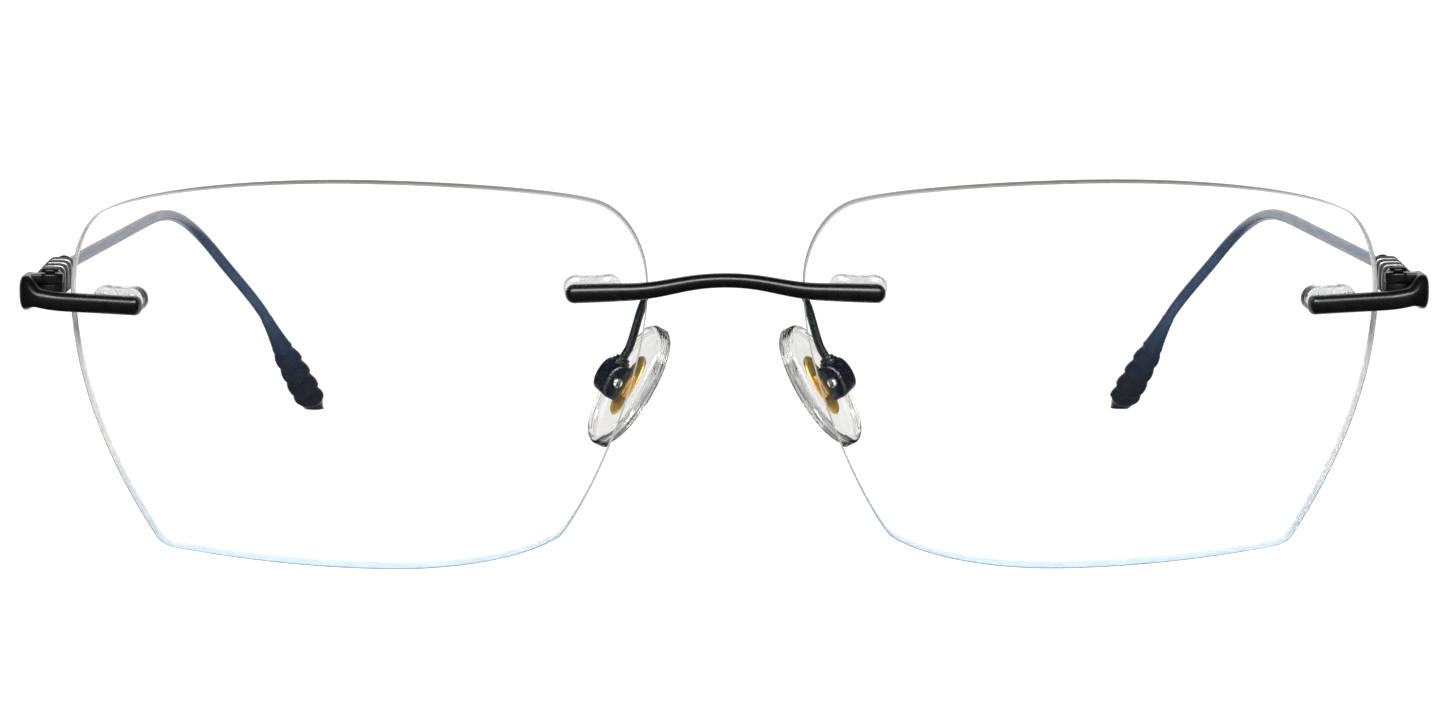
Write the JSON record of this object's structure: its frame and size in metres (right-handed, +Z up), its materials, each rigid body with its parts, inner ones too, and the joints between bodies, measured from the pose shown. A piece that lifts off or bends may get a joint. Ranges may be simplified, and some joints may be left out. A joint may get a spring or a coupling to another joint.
{
  "type": "rimless eyeglasses",
  "caption": "Rimless eyeglasses with clear drilled lenses, a black bridge bar, nose pads and thin folding wire temples.",
  "frame": {"origin": "on the table, under the middle of the open glasses' box", "axes": "+X towards the wearer's left, +Y back along the temples, +Z up; the lenses face -Y"},
  "size_m": [0.142, 0.1366, 0.0398],
  "materials": {
    "lens_clear": "polished clear",
    "black_metal": "satin",
    "silver_metal": "satin",
    "sleeve_clear": "clear",
    "temple_metal": "satin, dark plated",
    "tip_resin": "matte",
    "gold_metal": "satin",
    "silicone": "clear, soft gloss"
  },
  "bodies": {
    "front": {"lens_left": "lens_clear", "lens_right": "lens_clear", "bridge_bar": "black_metal", "bridge_pin_inner_left": "silver_metal", "bridge_pin_inner_right": "silver_metal", "endpiece_pin_inner_left": "silver_metal", "endpiece_pin_inner_right": "silver_metal", "bridge_pin_outer_left": "silver_metal", "bridge_pin_outer_right": "silver_metal", "endpiece_pin_outer_left": "silver_metal", "endpiece_pin_outer_right": "silver_metal", "bridge_sleeve_left": "sleeve_clear", "bridge_sleeve_right": "sleeve_clear", "endpiece_sleeve_left": "sleeve_clear", "endpiece_sleeve_right": "sleeve_clear", "endpiece_left": "black_metal", "endpiece_right": "black_metal", "hinge_screw_left": "black_metal", "hinge_screw_right": "black_metal", "pad_arm_left": "black_metal", "pad_arm_right": "black_metal", "pad_box_left": "black_metal", "pad_box_right": "black_metal", "pad_screw_left": "silver_metal", "pad_screw_right": "silver_metal"},
    "temple_left": {"temple_front_left": "temple_metal", "temple_wire_left": "temple_metal", "temple_tip_left": "tip_resin"},
    "temple_right": {"temple_front_right": "temple_metal", "temple_wire_right": "temple_metal", "temple_tip_right": "tip_resin"},
    "pad_left": {"nose_pad_left": "silicone", "pad_core_left": "gold_metal"},
    "pad_right": {"nose_pad_right": "silicone", "pad_core_right": "gold_metal"}
  },
  "joints": [
    {"name": "temple_left_fold", "type": "hinge", "parent": "front", "child": "temple_left", "pos_m": [0.06815, -0.05671, 0.02783], "axis": [0, 0, 1], "range_deg": [0, 78]},
    {"name": "temple_right_fold", "type": "hinge", "parent": "front", "child": "temple_right", "pos_m": [-0.06815, -0.05671, 0.02783], "axis": [0, 0, -1], "range_deg": [0, 64]},
    {"name": "pad_left_rock", "type": "hinge", "parent": "front", "child": "pad_left", "pos_m": [0.01157, -0.05683, 0.01905], "axis": [0.4121, 0.8768, 0.2476], "range_deg": [-8, 8]},
    {"name": "pad_right_rock", "type": "hinge", "parent": "front", "child": "pad_right", "pos_m": [-0.01157, -0.05683, 0.01905], "axis": [0.4121, -0.8768, -0.2476], "range_deg": [-8, 8]}
  ]
}
